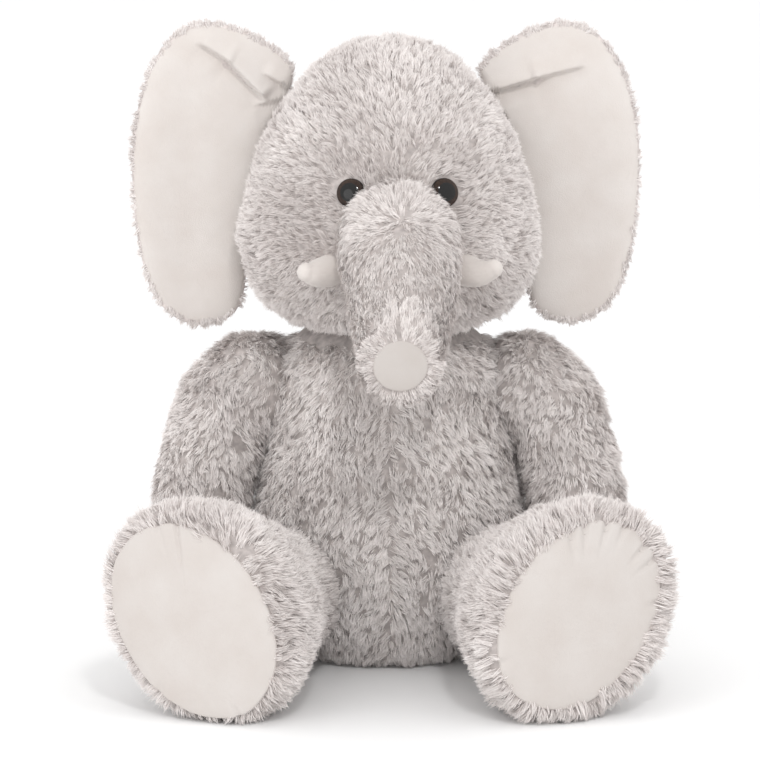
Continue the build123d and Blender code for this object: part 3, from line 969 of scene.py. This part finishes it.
# ---------------------------------------------------------------- tail and label
def make_tail():
    """A short stuffed tail, and the tuft at its end."""
    rows = [(0, 139, 104, 9.5, 9.5), (0, 152, 90, 9, 9), (0, 159, 74, 8.5, 8.5), (0, 162, 56, 8, 8)]
    rings = limb_rings(rows, np.array([1.0, 0, 0]), 14, 28, round_end=True)
    tail = build("tail_cover", *closed_rings(rings), [BACKING])
    piece(tail, "tail", "plush_limb", "tail", fill=0.8)
    grow_fur("tail_fur", tail, "tail", falling, seed=81, length=7.0, spacing=3.5,
             strands=8)
    rows = [(1, 64), (7, 60), (12, 44), (10, 32), (2, 26)]
    rings = turned_profile(rows, 16, 28, (0, 164))
    tuft = build("tail_tuft_core", *closed_rings(rings[::-1]), [BACKING])
    piece(tuft, "tail", "plush_limb", "tail_tuft")
    grow_fur("tail_tuft_fur", tuft, "tail", falling, seed=82, length=17.0,
             spacing=3.2, lift=0.3)


LABEL_HALF_WIDE = 13.5
LABEL_STEP = 1.72  # between its 25 rows of points, of 9 each
LABEL_ROWS, LABEL_COLUMNS = 25, 9


def make_label():
    """A blank ribbon label, folded once and sewn in by its top edge."""
    turn = math.radians(-20)
    verts = []
    for face in (0, 1.0):
        for i in range(LABEL_ROWS):
            out, z = 131.6 + 0.5 * math.sin(i / 7), 83 - i * LABEL_STEP
            for k in range(LABEL_COLUMNS):
                x = LABEL_HALF_WIDE * (1 - k / 4)
                y = out + face + 0.7 * math.sin(z / 9 + k * 0.5)
                verts.append((x * math.cos(turn) - y * math.sin(turn),
                              x * math.sin(turn) + y * math.cos(turn), z))
    faces = []
    count = LABEL_ROWS * LABEL_COLUMNS
    for i in range(LABEL_ROWS - 1):
        for k in range(LABEL_COLUMNS - 1):
            a = i * LABEL_COLUMNS + k
            b = a + LABEL_COLUMNS
            faces.append((a, a + 1, b + 1, b))
            faces.append((count + a, count + b, count + b + 1, count + a + 1))
    last = count - LABEL_COLUMNS
    edge = list(range(LABEL_COLUMNS))
    edge += list(range(2 * LABEL_COLUMNS - 1, count, LABEL_COLUMNS))
    edge += list(range(count - 2, last - 1, -1))
    edge += list(range(last - LABEL_COLUMNS, 0, -LABEL_COLUMNS))
    for a, b in zip(edge, edge[1:] + edge[:1]):
        faces.append((a, count + a, count + b, b))
    label = build("label_ribbon", verts, faces, [satin_ribbon()])
    piece(label, "torso", "label_satin", "label")


def finish_inner_nodes():
    """The fillings and the eyes' washers stay as they are, with their own materials."""
    kinds = {"filling": fibrefill(), "washer": washer_plastic()}
    for name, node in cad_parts.items():
        for kind, material in kinds.items():
            if kind in name:
                for place in node.material_slots:
                    place.material = material


# ---------------------------------------------------------------- floor, light and camera
def make_studio():
    """A pale floor without an edge in view, a white surround, a key lamp and a fill lamp."""
    half = 60000
    floor = build("floor", [(-half, -half, 0), (half, -half, 0), (half, half, 0), (-half, half, 0)],
                  [(0, 1, 2, 3)], [principled("floor_paper", (0.96, 0.96, 0.96), 0.9)[0]])
    world = bpy.data.worlds.new("studio")
    bpy.context.scene.world = world
    world.use_nodes = True
    background = world.node_tree.nodes["Background"]
    background.inputs["Color"].default_value = (1, 1, 1, 1)
    background.inputs["Strength"].default_value = 1.06
    bpy.context.scene.view_settings.view_transform = "Standard"
    # name, place in metres, width in metres, watts
    lamps = [("key", (0.35, -2.6, 2.4), 0.35, 21), ("fill", (-1.7, -2.4, 0.9), 2.0, 12)]
    for name, place, size, power in lamps:
        light = bpy.data.lights.new(name, "AREA")
        light.shape = "DISK"
        light.size = size
        light.energy = power
        lamp = bpy.data.objects.new(name, light)
        lamp.location = place
        aim = Vector((0, 0, 0.3)) - Vector(place)
        lamp.rotation_euler = aim.to_track_quat("-Z", "Y").to_euler()
        bpy.context.collection.objects.link(lamp)


def make_camera():
    """Three metres from the middle of the chest, and eight degrees above it."""
    elevation = math.radians(8)
    back = Vector((0, -math.cos(elevation), math.sin(elevation)))
    data = bpy.data.cameras.new("camera")
    data.lens = 142.1
    data.sensor_width = 36
    camera = bpy.data.objects.new("camera", data)
    aim = Vector((-0.009, 0, 0.2715))
    camera.location = aim + back * 3.0
    camera.rotation_euler = (-back).to_track_quat("-Z", "Y").to_euler()
    bpy.context.collection.objects.link(camera)
    bpy.context.scene.camera = camera


make_body()
for name, side in SIDES.items():
    make_sole(name, side)
    make_tusk(name, side)
    make_eye(name, side)
    make_ear(name, side)
make_trunk_tip()
make_tail()
make_label()
finish_inner_nodes()
make_studio()
make_camera()
